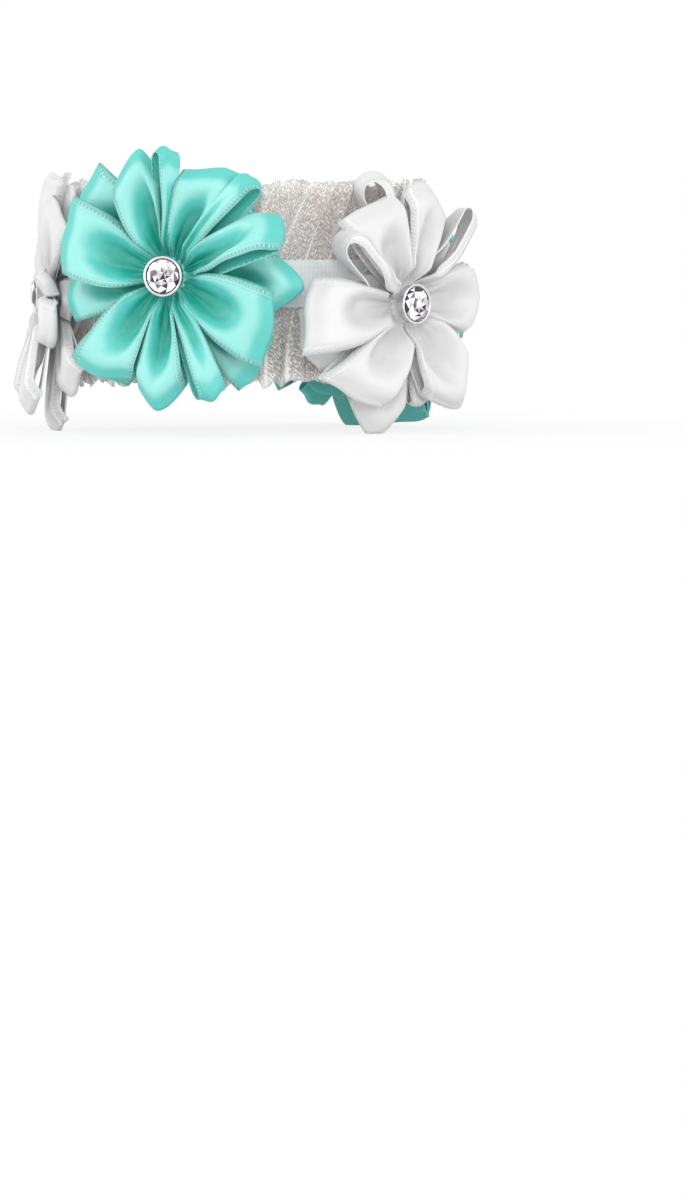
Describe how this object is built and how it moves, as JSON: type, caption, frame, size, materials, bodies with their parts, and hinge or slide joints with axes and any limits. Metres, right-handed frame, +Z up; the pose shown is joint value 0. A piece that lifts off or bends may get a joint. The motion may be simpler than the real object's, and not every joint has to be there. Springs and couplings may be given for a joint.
{
  "type": "wrist corsage",
  "caption": "Stretch wrist corsage: a ruched sheer organza band on an elastic strip, set round with looped satin ribbon flowers, each with a rhinestone middle.",
  "frame": {"origin": "under the middle of the whole corsage, on the surface that it stands on", "axes": "+Z up, along the wrist that would wear it; -Y towards the side of the front flower; +X to the right as that side is looked at"},
  "size_m": [0.0732, 0.066, 0.0446],
  "materials": {
    "organza": "sheer, woven",
    "elastic": "knitted, matt",
    "thread": "spun, matt",
    "felt": "felted, matt",
    "teal_ribbon": "satin",
    "white_ribbon": "satin",
    "setting": "plated, bright",
    "rhinestone": "cut and polished"
  },
  "bodies": {
    "root": {"organza_ruffle": "organza", "elastic_band": "elastic", "seam_thread": "thread", "front_teal_felt_pad": "felt", "front_teal_lower_petals": "teal_ribbon", "front_teal_upper_petals": "teal_ribbon", "front_teal_gathering_thread": "thread", "front_teal_stone_setting": "setting", "front_teal_rhinestone": "rhinestone", "right_white_felt_pad": "felt", "right_white_lower_petals": "white_ribbon", "right_white_upper_petals": "white_ribbon", "right_white_gathering_thread": "thread", "right_white_stone_setting": "setting", "right_white_rhinestone": "rhinestone", "left_white_felt_pad": "felt", "left_white_lower_petals": "white_ribbon", "left_white_upper_petals": "white_ribbon", "left_white_gathering_thread": "thread", "left_white_stone_setting": "setting", "left_white_rhinestone": "rhinestone", "back_teal_felt_pad": "felt", "back_teal_lower_petals": "teal_ribbon", "back_teal_upper_petals": "teal_ribbon", "back_teal_gathering_thread": "thread", "back_teal_stone_setting": "setting", "back_teal_rhinestone": "rhinestone"}
  },
  "joints": []
}
